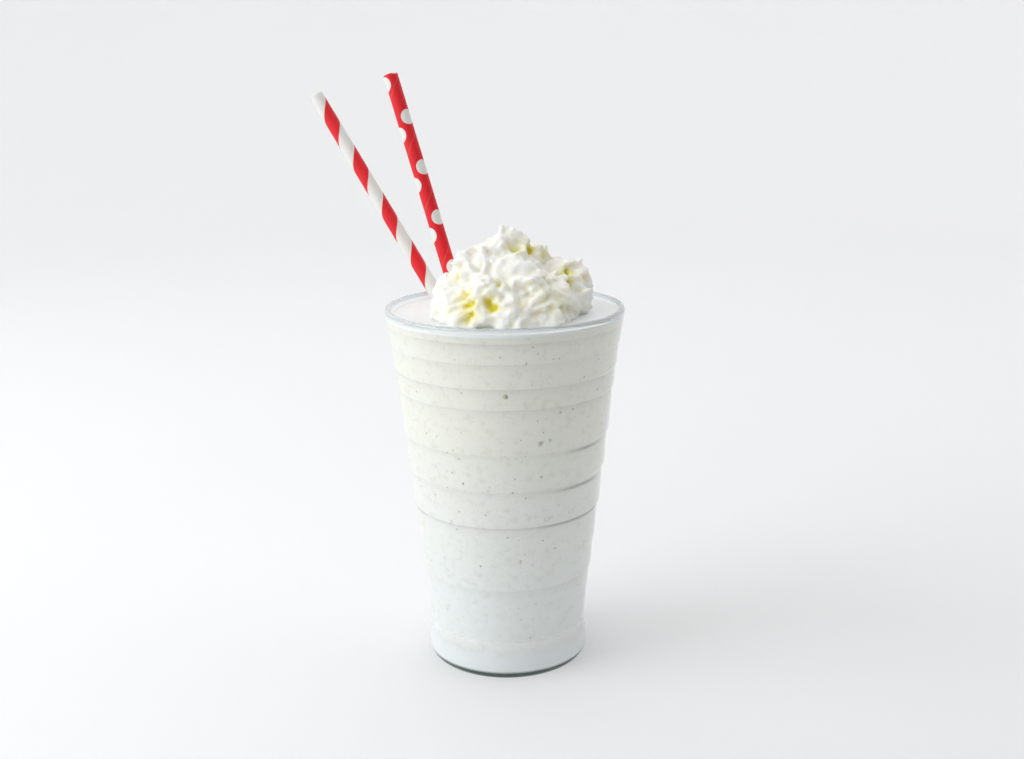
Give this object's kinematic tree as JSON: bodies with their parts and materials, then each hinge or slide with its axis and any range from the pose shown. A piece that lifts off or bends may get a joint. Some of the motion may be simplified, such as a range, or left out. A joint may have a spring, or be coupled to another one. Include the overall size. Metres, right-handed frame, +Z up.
{
  "type": "vanilla milkshake in a glass",
  "caption": "Vanilla milkshake in a tall stepped tapered glass, topped with a craggy dollop of whipped cream, with a striped and a dotted paper straw leaning to one side.",
  "frame": {"origin": "centre of the glass's flat foot, on the table", "axes": "+Z up along the glass's axis; seen from the front, along +Y, +X is to the right and both straws lean to the left"},
  "size_m": [0.132, 0.1029, 0.2436],
  "materials": {
    "clear_glass": "gloss",
    "milkshake": "satin",
    "whipped_cream": "matte",
    "striped_paper": "matte",
    "dotted_paper": "matte"
  },
  "bodies": {
    "root": {"glass": "clear_glass", "milkshake": "milkshake", "whipped_cream": "whipped_cream", "straw_striped": "striped_paper", "straw_dotted": "dotted_paper"}
  },
  "joints": []
}
